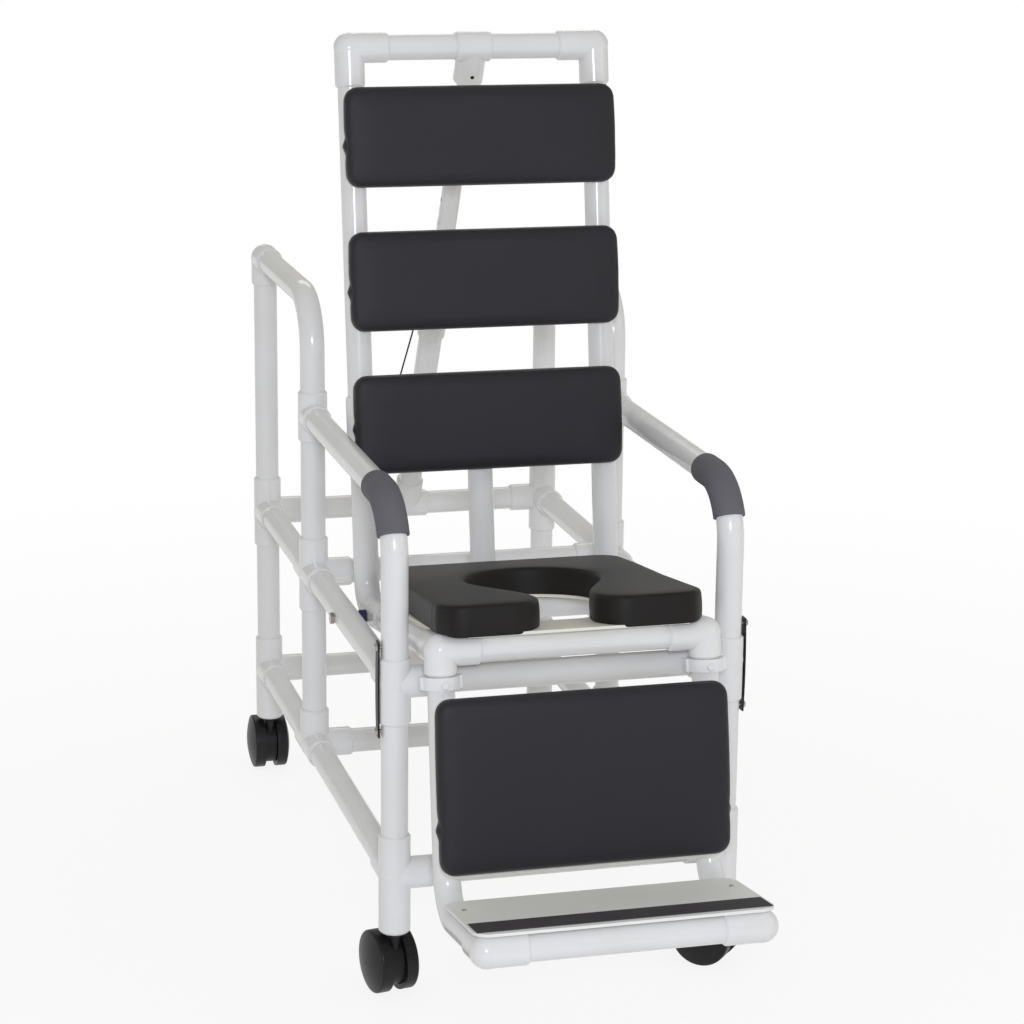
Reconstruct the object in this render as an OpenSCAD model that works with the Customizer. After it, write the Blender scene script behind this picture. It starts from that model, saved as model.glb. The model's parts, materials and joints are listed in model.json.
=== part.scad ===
// Tilt-in-space shower chair on four twin casters
// A white plastic pipe frame carries a rigid seat, back and leg rest frame on two side bolts.
// A telescoping strut behind the back sets the tilt, and dark padded cushions carry the user.
// Millimetres, +Z up, the chair faces -Y, and left means -X as seen from the front.

/* [Pipe] */
// Outside diameter of the frame pipe
tube_od = 42.2; // [41.6:0.1:43]
// Wall of the frame pipe
tube_wall = 3.6; // [3:0.1:4.2]
// Outside diameter of the moulded fittings
fitting_od = 50; // [49.4:0.1:51]
// Usual length of a fitting leg from its centre
fitting_leg = 65; // [60:1:68]
// Usual depth of a pipe socket
fitting_depth = 32; // [28:1:34]
// Length of the bevel at a socket mouth
mouth_chamfer = 3; // [1:0.5:4]
// Width of the bevel at a socket mouth
mouth_bevel = 2.2; // [0.5:0.1:2.6]
// How far the round centre of a fitting swells past its legs
hub_swell = 0.6; // [0.4:0.1:1]

/* [Base frame] */
// Half the spacing of the left and right posts
post_x = 267; // [266:1:272]
// Middle posts behind the front legs
mid_y = 640; // [620:5:660]
// Rear posts behind the front legs
rear_y = 1088; // [1070:2:1100]
// Height of the low rails
low_z = 200; // [196:1:210]
// Height of the middle rails and the tilt pivot
mid_z = 510; // [500:1:516]
// Height of the arm tubes
arm_z = 788; // [776:2:800]
// Height of the push handles
handle_z = 988; // [970:2:1000]
// Bend radius of the arm tubes
arm_bend = 90; // [84:1:100]
// Bend radius of the push handles
handle_bend = 90; // [80:1:100]

/* [Casters] */
// Wheel diameter
wheel_d = 100; // [96:1:100]
// Width over both wheels of a caster
caster_width = 78; // [74:1:82]
// Gap between the two wheels of a caster
caster_gap = 22; // [20:0.5:24]
// Axle set back from the swivel stem
caster_trail = 22; // [18:1:26]
// Swivel angle of the front left caster
swivel_left = 11; // [0:1:90]
// Swivel angle of the front right caster
swivel_right = 48; // [0:1:90]

/* [Tilting frame] */
// Half the spacing of the tilting frame's side pipes
side_x = 209.5; // [207:0.5:210]
// Tilt pivot behind the front legs
pivot_y = 360; // [356:1:366]
// Tilt of the seat in the stored pose, in degrees
rest_tilt = 8.64; // [8.2:0.02:9]
// Further tilt that the strut allows, in degrees
tilt_travel = 25; // [20:1:26]
// Back uprights behind the pivot, square to the back
upright_u = 104.5; // [103:0.5:106]
// Bend radius at the foot of the back uprights
upright_bend = 48; // [46:0.5:48]
// Height of the top rail above the seat frame
top_w = 929; // [922:1:936]
// Height of the lower back rail above the seat frame
back_rail_w = 290; // [284:1:292]
// Front corners of the seat frame ahead of the pivot
seat_u = 419; // [418:0.5:422]
// Foot bar below the seat frame
foot_w = 405; // [402:1:412]
// Foot bar ahead of the pivot
foot_u = 655; // [650:1:660]
// Bend radius of the leg rest tubes
legrest_bend = 64; // [62:1:66]
// Sideways place of the pipe in the middle of the back
centre_x = -8; // [-12:1:0]

/* [Padding] */
// Half width of the back and calf padding and the footplate
pad_half = 229; // [224:1:229]
// Thickness of the back and calf pads
pad_thick = 29.3; // [26:0.1:32]
// Height of one back pad
pad_tall = 164.5; // [158:0.5:165]
// Corner radius of the pads
pad_corner = 22; // [16:1:30]
// Thickness of the boards behind the back pads
board_thick = 5; // [4:0.5:6]
// Thickness of the seat cushion at its crown
cushion_thick = 44; // [40:0.5:50]
// Half width of the seat cushion
cushion_half = 207; // [202:1:210]
// Corner radius of the seat cushion
cushion_corner = 45; // [36:1:50]
// Half width of the seat opening
opening_half = 109; // [102:1:112]
// Half width of the gap at the front of the opening
mouth_half = 47; // [44:1:56]

/* [Strut] */
// Outside diameter of the sliding inner tube
inner_od = 33.4; // [32.8:0.1:33.6]
// Wall of the sliding inner tube
inner_wall = 3.4; // [3:0.1:4]
// Length of the outer tube's end from the lower hub
outer_end = 495; // [485:5:500]
// Diameter of the lock pin
pin_d = 8; // [7:0.5:9]
// Diameter of the lanyard
lanyard_d = 3; // [2.5:0.1:3.5]

/* [Hidden] */
$fn = 48;
overrun = 1;

// Fits between parts, radial except the end gap
socket_gap = 0.1;
running_gap = 0.075;
press_gap = 0.03;
end_gap = 0.5;
face_gap = 0.2;
soft_gap = 0.3;

// Pipe sizes
tube_id = tube_od - 2 * tube_wall;
socket_d = tube_od + 2 * socket_gap;
slip_d = tube_od + 2 * running_gap;
tube_start = fitting_leg - fitting_depth + end_gap;

// Shorter fitting legs
front_up_leg = 40;
front_up_depth = 26;
caster_leg = 94;
caster_depth = 52;
arm_leg = 43;
arm_depth = 21;
handle_leg = 48;
handle_depth = 26;
pivot_leg = 58;
centre_leg = 56;
centre_depth = 24;
top_leg = 64;
corner_leg = 61;
corner_down_leg = 37.5;
corner_down_depth = 16;
foot_leg = 50;
foot_depth = 28;

// The round centre's poles are turned away from every leg
hub_turn = [37, 21, 0];

// Middle of the chair from front to back
front_y = pivot_y - foot_u * cos(rest_tilt) - foot_w * sin(rest_tilt) - fitting_od / 2 - hub_swell;
back_y = rear_y + caster_trail + wheel_d / 2;
centre_y = (front_y + back_y) / 2;

// Casters
caster_top = low_z - caster_leg;
axle_z = wheel_d / 2;
axle_d = 8;
axle_length = 54;
yoke_width = 19.6;
yoke_d = 82;
neck_d = 18.6;
collar_d = 34;
collar_drop = 5;
stem_d = 11;
stem_length = 44;
sleeve_length = 50;
wheel_edge = 4;
wheel_face_drop = 9;
wheel_recess = 10;
wheel_rim = 8;
wheel_hub_d = 26;
face_r = (axle_z * axle_z + wheel_face_drop * wheel_face_drop) / (2 * wheel_face_drop);
face_x = caster_width / 2 - face_r;
edge_x = face_x + sqrt(pow(face_r - wheel_edge, 2) - pow(axle_z - wheel_edge, 2));
edge_r = (axle_z - wheel_edge) * face_r / (face_r - wheel_edge);
caster_spots = [
    [-post_x, 0, swivel_left],
    [post_x, 0, swivel_right],
    [-post_x, rear_y, 0],
    [post_x, rear_y, 0]
];

// Pivot bolts
bolt_d = 10;
bolt_head_af = 17;
bolt_head_h = 6.4;
nut_h = 8;
bolt_tail = 2;
spacer_d = 22;
rail_face = post_x - tube_od / 2;
tee_face = side_x + fitting_od / 2;
bolt_corner = bolt_head_af / 2 / cos(30);
nut_face = side_x + sqrt(pow(tube_id / 2, 2) - pow(bolt_corner, 2)) - face_gap;

// Leg straps
strap_width = 17;
strap_thick = 2.5;
strap_half = 76;
strap_bow = 1.2;
strap_mid_z = 501;
strap_bolt_half = 67;
strap_bolt_d = 6;
strap_head_d = 13;
strap_head_h = 4;
strap_bolt_length = 14;
strap_r = (strap_half * strap_half + strap_bow * strap_bow) / (2 * strap_bow);
strap_in = post_x + fitting_od / 2 + hub_swell + face_gap;
strap_drop = strap_bow * pow((strap_bolt_half - strap_head_d / 2) / strap_half, 2);

// Foam grips
grip_od = 50;
grip_y = 128;
grip_angle = 64;

// Leg rest
collar_od = 58;
collar_w = 38;
collar_h = 20;
ear_width = 12;
ear_reach = 7;
button_d = 12;
button_w = 50;
button_rise = 3;
button_flange_d = 16;
button_flange_h = 1.5;
plate_back_u = 467;
plate_front_u = 678;
plate_thick = 4.5;
plate_corner = 26;
plate_screw_u = 524;
plate_boss_d = 26;
strip_back_u = 609;
strip_front_u = 665;
strip_thick = 1.2;
strip_inset = 4;
screw_d = 5;
screw_head_d = 8;
screw_head_h = 1.6;
plate_w = -foot_w + fitting_od / 2 + hub_swell + face_gap;
calf_top_w = 68;
calf_margin = 4;
calf_bottom_w = foot_w - legrest_bend - calf_margin;
calf_board_thick = 9;
calf_board_drop = 7.5;

// Seat board and cushion
seat_board_thick = 4.5;
seat_board_w = tube_od / 2 + face_gap;
seat_front_u = -455;
seat_back_u = 70;
opening_mid_u = -170;
opening_back_u = -45;
mouth_corner = 65;
board_rim = 2;
board_side = 3;
board_mouth_half = 50;
board_mouth_u = -356;
board_mouth_corner = 22;
board_margin = 2;
board_clear = 15.5;
board_bend_clear = 22.5;
board_far = side_x + fitting_od;
rib_width = 16;
rib_margin = 4;
cushion_w = seat_board_w + seat_board_thick + soft_gap;
arm_end_u = seat_front_u + 75;

// Inset and height of each level of the padding, as shares of its thickness
pad_level_shares = [
    [0.10, 0], [0.02, 0.10], [0, 0.28], [0.01, 0.50], [0.05, 0.68],
    [0.14, 0.81], [0.30, 0.895], [0.60, 0.955], [1.2, 0.985], [2.2, 1]
];
// Inset towards the middle line and height of each level of the seat cushion
cushion_level_shares = [
    [0.05, 0], [0.015, 0.08], [0, 0.24], [0, 0.46], [0.02, 0.62],
    [0.08, 0.75], [0.18, 0.84], [0.34, 0.92], [0.55, 0.975], [0.78, 1]
];
corner_steps = 6;

// Back pads
back_board_u = upright_u - fitting_od / 2 - hub_swell - face_gap;
pad_top_gap = 1.5;
pad_low_rise = 18.7;
pad_high_w = top_w - top_leg - pad_top_gap - pad_tall / 2;
pad_low_w = back_rail_w + pad_low_rise;
pad_mids_w = [pad_high_w, (pad_high_w + pad_low_w) / 2, pad_low_w];
board_inset = 3;

// Strut
rest_top = [
    pivot_y + upright_u * cos(rest_tilt) + top_w * sin(rest_tilt),
    mid_z - upright_u * sin(rest_tilt) + top_w * cos(rest_tilt)
];
full_tilt = rest_tilt + tilt_travel;
full_top = [
    pivot_y + upright_u * cos(full_tilt) + top_w * sin(full_tilt),
    mid_z - upright_u * sin(full_tilt) + top_w * cos(full_tilt)
];
hub_point = [rear_y, mid_z];
strut_length = norm(rest_top - hub_point);
strut_stroke = strut_length - norm(full_top - hub_point);
strut_lean = atan2(hub_point[0] - rest_top[0], rest_top[1] - hub_point[1]);
hub_half = 38;
hub_leg = 62;
hub_rail_gap = 0.3;
outer_start = hub_leg - fitting_depth + end_gap;
collar_start = 411;
collar_end = 531;
inner_start = 370;
inner_end_gap = 30;
tee_half = 30;
tee_leg = 68;
pin_s = 513;
pin_travel = 12;
pin_holes = 6;
knob_d = 20;
knob_length = 13;
knob_waist = 3;
tip_gap = 0.4;
lanyard_eye_d = 7;
eye_length = 14;

// Lanyard route beside the strut, across and along it
lanyard_points = [
    [-28, 0, 494], [-28.5, 0, 485], [-30.5, 0, 460], [-35, -1, 418], [-41, -2, 370],
    [-47, -3, 322], [-54, -4, 265], [-60, -5, 210], [-62, -5, 160], [-60, -4, 118],
    [-54, -3, 86], [-45, -2, 62], [-36, -1, 46], [-31, 0, 34], [-30, 0, 24]
];
lanyard_steps = 4;
lanyard_sides = 8;

// Turns +Z to point along a direction
module aim(direction) {
    rotate([0, acos(direction[2] / norm(direction)), atan2(direction[1], direction[0])])
        children();
}

// A round rod between two points
module rod(from, to, d) {
    translate(from)
        aim(to - from)
            cylinder(h = norm(to - from), d = d);
}

// A straight pipe between two points
module pipe(from, to, od, id) {
    reach = norm(to - from);
    translate(from)
        aim(to - from)
            difference() {
                cylinder(h = reach, d = od);
                translate([0, 0, -overrun])
                    cylinder(h = reach + 2 * overrun, d = id);
            }
}

// A frame pipe in an x plane, bent once where its level run meets its upright run
module bent_pipe(corner, flat_y, up_z, bend) {
    side_y = sign(flat_y - corner[1]);
    side_z = sign(up_z - corner[2]);
    start = side_z < 0 ? (side_y < 0 ? 0 : 90) : (side_y > 0 ? 180 : 270);
    translate(corner + [0, side_y * bend, side_z * bend])
        rotate([90, 0, 90])
            rotate([0, 0, start])
                rotate_extrude(angle = 90)
                    translate([bend, 0])
                        difference() {
                            circle(d = tube_od);
                            circle(d = tube_id);
                        }
    pipe(
        [corner[0], corner[1] + side_y * bend, corner[2]],
        [corner[0], flat_y, corner[2]],
        tube_od,
        tube_id
    );
    pipe(
        [corner[0], corner[1], corner[2] + side_z * bend],
        [corner[0], corner[1], up_z],
        tube_od,
        tube_id
    );
}

// The outside of one fitting leg with a bevelled mouth
module leg_form(reach) {
    outer = fitting_od / 2;
    rotate_extrude()
        polygon([
            [0, 0],
            [outer, 0],
            [outer, reach - mouth_chamfer],
            [outer - mouth_bevel, reach],
            [0, reach]
        ]);
}

// A moulded fitting, each leg given as direction, length and socket depth
module fitting(legs) {
    difference() {
        union() {
            for (leg = legs)
                aim(leg[0])
                    leg_form(leg[1]);
            rotate(hub_turn)
                sphere(d = fitting_od + 2 * hub_swell);
        }
        for (leg = legs)
            aim(leg[0]) {
                cylinder(h = leg[1] + overrun, d = tube_id);
                translate([0, 0, leg[1] - leg[2]])
                    cylinder(h = leg[2] + overrun, d = socket_d);
            }
    }
}

// Places the base frame so that the chair stands over the origin
module base_pose() {
    translate([0, -centre_y, 0])
        children();
}

// Places the tilting frame, y along the seat and z along the back
module tilt_pose() {
    translate([0, pivot_y - centre_y, mid_z])
        rotate([-rest_tilt, 0, 0])
            children();
}

// Places the strut, z along it from the lower hub
module strut_pose() {
    translate([0, rear_y - centre_y, mid_z])
        rotate([strut_lean, 0, 0])
            children();
}

// Places a caster with its stem on the z axis
module caster_pose(spot) {
    base_pose()
        translate([spot[0], spot[1], 0])
            rotate([0, 0, spot[2]])
                children();
}

// A plate outline with round corners
module rounded_outline(half_x, from_y, to_y, corner) {
    translate([-half_x, from_y + corner])
        square([2 * half_x, to_y - from_y - 2 * corner]);
    translate([-half_x + corner, from_y])
        square([2 * (half_x - corner), to_y - from_y]);
    for (side = [-1, 1])
        for (y = [from_y + corner, to_y - corner])
            translate([side * (half_x - corner), y])
                circle(r = corner);
}

// Points of one level of a pad, anticlockwise from the right
function pad_ring(half_x, half_y, corner, z) = [
    for (quarter = [0:3])
        for (k = [0:corner_steps])
            let (
                angle = 90 * quarter + 90 * k / corner_steps,
                side_x = quarter == 0 || quarter == 3 ? 1 : -1,
                side_y = quarter < 2 ? 1 : -1
            )
            [side_x * (half_x - corner) + corner * cos(angle), side_y * (half_y - corner) + corner * sin(angle), z]
];

// A soft pad on the z plane with drawn-in sides and a crown
module soft_pad(half_x, half_y) {
    count = 4 * (corner_steps + 1);
    levels = len(pad_level_shares);
    points = [
        for (share = pad_level_shares)
            let (inset = share[0] * pad_thick)
            each pad_ring(
                half_x - inset,
                half_y - inset,
                max(pad_corner - inset / 2, pad_corner / 2),
                share[1] * pad_thick
            )
    ];
    sides = [
        for (level = [0:levels - 2])
            for (i = [0:count - 1])
                let (a = level * count + i, b = level * count + (i + 1) % count)
                each [[a, a + count, b + count], [a, b + count, b]]
    ];
    bottom = [for (i = [0:count - 1]) i];
    top = [for (i = [0:count - 1]) levels * count - 1 - i];
    polyhedron(points = points, faces = concat(sides, [bottom, top]));
}

// Outer and inner edge points of the right half of the seat cushion, from the back to the front
cushion_outer = concat(
    [for (k = [0:5]) [(cushion_half - cushion_corner) * k / 5, seat_back_u]],
    [for (a = [67.5:-22.5:0]) [
        cushion_half - cushion_corner + cushion_corner * cos(a),
        seat_back_u - cushion_corner + cushion_corner * sin(a)
    ]],
    [for (k = [1:7]) [
        cushion_half,
        seat_back_u - cushion_corner + (seat_front_u - seat_back_u + 2 * cushion_corner) * k / 7
    ]],
    [for (a = [22.5:22.5:90]) [
        cushion_half - cushion_corner + cushion_corner * cos(a),
        seat_front_u + cushion_corner - cushion_corner * sin(a)
    ]]
);
cushion_inner = concat(
    [for (k = [0:10]) [
        opening_half * sin(9 * k),
        opening_mid_u + (opening_back_u - opening_mid_u) * cos(9 * k)
    ]],
    [for (k = [1:6]) [
        opening_half + (mouth_half - opening_half) * (1 - cos(30 * k)) / 2,
        opening_mid_u + (seat_front_u + mouth_corner - opening_mid_u) * k / 6
    ]],
    [for (a = [22.5:22.5:90]) [
        mouth_half + mouth_corner - mouth_corner * cos(a),
        seat_front_u + mouth_corner - mouth_corner * sin(a)
    ]]
);

// One edge point drawn in towards the middle line of its arm
function drawn(points, i, share, z) =
    let (
        middle = (cushion_outer[i] + cushion_inner[i]) / 2,
        target = [
            i < 17 ? middle[0] : (cushion_half + mouth_half) / 2,
            i < 17 ? max(middle[1], arm_end_u) : arm_end_u
        ],
        p = points[i] + (target - points[i]) * share
    )
    [p[0], p[1], z];

// One level of the seat cushion, clockwise from the back
function cushion_ring(share, z) =
    let (last = len(cushion_outer) - 1)
    concat(
        [for (i = [0:last]) drawn(cushion_outer, i, share, z)],
        [for (i = [last:-1:0]) drawn(cushion_inner, i, share, z)],
        [for (i = [1:last]) let (p = drawn(cushion_inner, i, share, z)) [-p[0], p[1], p[2]]],
        [for (i = [last:-1:1]) let (p = drawn(cushion_outer, i, share, z)) [-p[0], p[1], p[2]]]
    );

// The horseshoe seat cushion on the z plane
module soft_seat() {
    half = len(cushion_outer);
    count = 4 * half - 2;
    levels = len(cushion_level_shares);
    lid = (levels - 1) * count;
    points = [for (share = cushion_level_shares) each cushion_ring(share[0], share[1] * cushion_thick)];
    sides = [
        for (level = [0:levels - 2])
            for (i = [0:count - 1])
                let (a = level * count + i, b = level * count + (i + 1) % count)
                each [[a, b + count, a + count], [a, b, b + count]]
    ];
    floor_right = [
        for (i = [0:half - 2])
            each [
                [i, 2 * half - 1 - i, 2 * half - 2 - i],
                [i, 2 * half - 2 - i, i + 1]
            ]
    ];
    floor_left = [
        for (i = [0:half - 2])
            let (a = (4 * half - 2 - i) % count, b = 4 * half - 3 - i, c = 2 * half - 1 + i)
            each [[a, b, c + 1], [a, c + 1, c]]
    ];
    lid_right = [for (face = floor_right) [face[0] + lid, face[2] + lid, face[1] + lid]];
    lid_left = [for (face = floor_left) [face[0] + lid, face[2] + lid, face[1] + lid]];
    polyhedron(points = points, faces = concat(sides, floor_right, floor_left, lid_right, lid_left));
}

// A point on a smooth curve through the given points
function curve_point(p, t) =
    let (
        i = min(floor(t), len(p) - 2),
        f = t - i,
        a = p[max(i - 1, 0)],
        b = p[i],
        c = p[i + 1],
        d = p[min(i + 2, len(p) - 1)]
    )
    (2 * b + (c - a) * f + (2 * a - 5 * b + 4 * c - d) * f * f + (3 * b - a - 3 * c + d) * f * f * f) / 2;

// A round cord swept through the given points
module cord(route, d) {
    rings = (len(route) - 1) * lanyard_steps;
    points = [
        for (k = [0:rings])
            let (
                centre = curve_point(route, k / lanyard_steps),
                ahead = curve_point(route, min(k + 1, rings) / lanyard_steps),
                behind = curve_point(route, max(k - 1, 0) / lanyard_steps),
                along = (ahead - behind) / norm(ahead - behind),
                across_raw = cross([0, 1, 0], along),
                across = across_raw / norm(across_raw),
                up = cross(along, across)
            )
            for (i = [0:lanyard_sides - 1])
                let (angle = 360 * i / lanyard_sides)
                centre + (across * cos(angle) + up * sin(angle)) * d / 2
    ];
    sides = [
        for (k = [0:rings - 1])
            for (i = [0:lanyard_sides - 1])
                let (a = k * lanyard_sides + i, b = k * lanyard_sides + (i + 1) % lanyard_sides)
                each [[a, a + lanyard_sides, b + lanyard_sides], [a, b + lanyard_sides, b]]
    ];
    first = [for (i = [0:lanyard_sides - 1]) i];
    last = [for (i = [0:lanyard_sides - 1]) (rings + 1) * lanyard_sides - 1 - i];
    polyhedron(points = points, faces = concat(sides, [first, last]));
}

// Base pipes

module arm_tube(side) {
    base_pose()
        difference() {
            bent_pipe(
                [side * post_x, 0, arm_z],
                mid_y - arm_leg + arm_depth - end_gap,
                mid_z + front_up_leg - front_up_depth + end_gap,
                arm_bend
            );
            rod(
                [side * post_x, 0, strap_mid_z + strap_bolt_half],
                [side * (post_x + tube_od), 0, strap_mid_z + strap_bolt_half],
                strap_bolt_d + 2 * socket_gap
            );
        }
}

module arm_tube_left() {
    color("WhiteSmoke")
        arm_tube(-1);
}

module arm_tube_right() {
    color("WhiteSmoke")
        arm_tube(1);
}

module push_handle(side) {
    base_pose()
        bent_pipe(
            [side * post_x, mid_y, handle_z],
            rear_y - handle_leg + handle_depth - end_gap,
            arm_z + arm_leg - arm_depth + end_gap,
            handle_bend
        );
}

module push_handle_left() {
    color("WhiteSmoke")
        push_handle(-1);
}

module push_handle_right() {
    color("WhiteSmoke")
        push_handle(1);
}

module front_legs() {
    color("WhiteSmoke")
        base_pose()
            for (side = [-1, 1])
                difference() {
                    pipe(
                        [side * post_x, 0, low_z + tube_start],
                        [side * post_x, 0, mid_z - tube_start],
                        tube_od,
                        tube_id
                    );
                    rod(
                        [side * post_x, 0, strap_mid_z - strap_bolt_half],
                        [side * (post_x + tube_od), 0, strap_mid_z - strap_bolt_half],
                        strap_bolt_d + 2 * socket_gap
                    );
                }
}

module mid_posts() {
    color("WhiteSmoke")
        base_pose()
            for (side = [-1, 1]) {
                pipe(
                    [side * post_x, mid_y, low_z + tube_start],
                    [side * post_x, mid_y, mid_z - tube_start],
                    tube_od,
                    tube_id
                );
                pipe(
                    [side * post_x, mid_y, mid_z + tube_start],
                    [side * post_x, mid_y, arm_z - arm_leg + arm_depth - end_gap],
                    tube_od,
                    tube_id
                );
            }
}

module rear_posts() {
    color("WhiteSmoke")
        base_pose()
            for (side = [-1, 1]) {
                pipe(
                    [side * post_x, rear_y, low_z + tube_start],
                    [side * post_x, rear_y, mid_z - tube_start],
                    tube_od,
                    tube_id
                );
                pipe(
                    [side * post_x, rear_y, mid_z + tube_start],
                    [side * post_x, rear_y, handle_z - handle_leg + handle_depth - end_gap],
                    tube_od,
                    tube_id
                );
            }
}

// The front and rear side rails at one height
module side_rails(z) {
    for (side = [-1, 1])
        for (span = [[0, mid_y], [mid_y, rear_y]])
            pipe(
                [side * post_x, span[0] + tube_start, z],
                [side * post_x, span[1] - tube_start, z],
                tube_od,
                tube_id
            );
}

module low_side_rails() {
    color("WhiteSmoke")
        base_pose()
            side_rails(low_z);
}

module mid_side_rails() {
    color("WhiteSmoke")
        base_pose()
            difference() {
                side_rails(mid_z);
                rod(
                    [-post_x - tube_od, pivot_y, mid_z],
                    [post_x + tube_od, pivot_y, mid_z],
                    bolt_d + 2 * socket_gap
                );
            }
}

module cross_rails() {
    reach = post_x - tube_start;
    color("WhiteSmoke")
        base_pose() {
            for (spot = [[0, low_z], [0, mid_z], [mid_y, low_z], [mid_y, mid_z], [rear_y, low_z]])
                pipe([-reach, spot[0], spot[1]], [reach, spot[0], spot[1]], tube_od, tube_id);
            for (side = [-1, 1])
                pipe(
                    [side * (hub_half + hub_rail_gap), rear_y, mid_z],
                    [side * reach, rear_y, mid_z],
                    tube_od,
                    tube_id
                );
        }
}

// Base fittings

module front_leg_fittings() {
    color("White")
        base_pose()
            for (side = [-1, 1]) {
                translate([side * post_x, 0, mid_z])
                    fitting([
                        [[0, 0, 1], front_up_leg, front_up_depth],
                        [[0, 0, -1], fitting_leg, fitting_depth],
                        [[-side, 0, 0], fitting_leg, fitting_depth],
                        [[0, 1, 0], fitting_leg, fitting_depth]
                    ]);
                translate([side * post_x, 0, low_z])
                    fitting([
                        [[0, 0, 1], fitting_leg, fitting_depth],
                        [[0, 0, -1], caster_leg, caster_depth],
                        [[-side, 0, 0], fitting_leg, fitting_depth],
                        [[0, 1, 0], fitting_leg, fitting_depth]
                    ]);
            }
}

module mid_post_fittings() {
    color("White")
        base_pose()
            for (side = [-1, 1]) {
                translate([side * post_x, mid_y, arm_z])
                    fitting([
                        [[0, 0, 1], arm_leg, arm_depth],
                        [[0, 0, -1], arm_leg, arm_depth],
                        [[0, -1, 0], arm_leg, arm_depth]
                    ]);
                translate([side * post_x, mid_y, mid_z])
                    fitting([
                        [[0, 0, 1], fitting_leg, fitting_depth],
                        [[0, 0, -1], fitting_leg, fitting_depth],
                        [[-side, 0, 0], fitting_leg, fitting_depth],
                        [[0, -1, 0], fitting_leg, fitting_depth],
                        [[0, 1, 0], fitting_leg, fitting_depth]
                    ]);
                translate([side * post_x, mid_y, low_z])
                    fitting([
                        [[0, 0, 1], fitting_leg, fitting_depth],
                        [[-side, 0, 0], fitting_leg, fitting_depth],
                        [[0, -1, 0], fitting_leg, fitting_depth],
                        [[0, 1, 0], fitting_leg, fitting_depth]
                    ]);
            }
}

module rear_post_fittings() {
    color("White")
        base_pose()
            for (side = [-1, 1]) {
                translate([side * post_x, rear_y, handle_z])
                    fitting([
                        [[0, 0, -1], handle_leg, handle_depth],
                        [[0, -1, 0], handle_leg, handle_depth]
                    ]);
                translate([side * post_x, rear_y, mid_z])
                    fitting([
                        [[0, 0, 1], fitting_leg, fitting_depth],
                        [[0, 0, -1], fitting_leg, fitting_depth],
                        [[-side, 0, 0], fitting_leg, fitting_depth],
                        [[0, -1, 0], fitting_leg, fitting_depth]
                    ]);
                translate([side * post_x, rear_y, low_z])
                    fitting([
                        [[0, 0, 1], fitting_leg, fitting_depth],
                        [[0, 0, -1], caster_leg, caster_depth],
                        [[-side, 0, 0], fitting_leg, fitting_depth],
                        [[0, -1, 0], fitting_leg, fitting_depth]
                    ]);
            }
}

// Arm grips, straps and bolts

module grip(side) {
    base_pose()
        translate([side * post_x, arm_bend, arm_z - arm_bend]) {
            rotate([90, 0, 90])
                rotate([0, 0, 90])
                    rotate_extrude(angle = grip_angle)
                        translate([arm_bend, 0])
                            difference() {
                                circle(d = grip_od);
                                circle(d = socket_d);
                            }
            pipe([0, 0, arm_bend], [0, grip_y - arm_bend, arm_bend], grip_od, socket_d);
        }
}

module grip_left() {
    color("DimGray")
        grip(-1);
}

module grip_right() {
    color("DimGray")
        grip(1);
}

module leg_straps() {
    sweep = 2 * asin(strap_half / strap_r);
    color("Black")
        base_pose()
            for (side = [-1, 1])
                difference() {
                    translate([side * (strap_in - strap_r), strap_width / 2, strap_mid_z])
                        rotate([90, 0, 0])
                            rotate([0, 0, (side > 0 ? 0 : 180) - sweep / 2])
                                rotate_extrude(angle = sweep, $fn = 720)
                                    translate([strap_r, 0])
                                        square([strap_thick, strap_width]);
                    for (end = [-1, 1])
                        rod(
                            [side * post_x, 0, strap_mid_z + end * strap_bolt_half],
                            [side * (post_x + tube_od), 0, strap_mid_z + end * strap_bolt_half],
                            strap_bolt_d + 2 * socket_gap
                        );
                }
}

module strap_bolts() {
    color("DimGray")
        base_pose()
            for (side = [-1, 1])
                for (end = [-1, 1])
                    translate([
                        side * (strap_in + strap_thick + face_gap - strap_drop),
                        0,
                        strap_mid_z + end * strap_bolt_half
                    ])
                        rotate([0, side * 90, 0]) {
                            cylinder(h = strap_head_h, d1 = strap_head_d, d2 = strap_head_d - strap_head_h);
                            translate([0, 0, -strap_bolt_length])
                                cylinder(h = strap_bolt_length, d = strap_bolt_d);
                        }
}

module pivot_bolts() {
    head_x = post_x + tube_od / 2 + face_gap;
    color("DimGray")
        base_pose()
            for (side = [-1, 1])
                translate([0, pivot_y, mid_z])
                    rotate([0, side * 90, 0]) {
                        translate([0, 0, head_x])
                            cylinder(h = bolt_head_h, r = bolt_corner, $fn = 6);
                        translate([0, 0, nut_face - nut_h - bolt_tail])
                            cylinder(h = head_x - nut_face + nut_h + bolt_tail, d = bolt_d);
                        translate([0, 0, nut_face - nut_h])
                            cylinder(h = nut_h, r = bolt_corner, $fn = 6);
                    }
}

module pivot_spacers() {
    color("Black")
        base_pose()
            for (side = [-1, 1])
                pipe(
                    [side * (tee_face + face_gap), pivot_y, mid_z],
                    [side * (rail_face - face_gap), pivot_y, mid_z],
                    spacer_d,
                    bolt_d + 2 * socket_gap
                );
}

module caster_sleeves() {
    color("Black")
        base_pose()
            for (spot = caster_spots)
                pipe(
                    [spot[0], spot[1], caster_top + face_gap],
                    [spot[0], spot[1], caster_top + sleeve_length],
                    tube_od,
                    stem_d + 2 * running_gap
                );
}

// Casters

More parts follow.
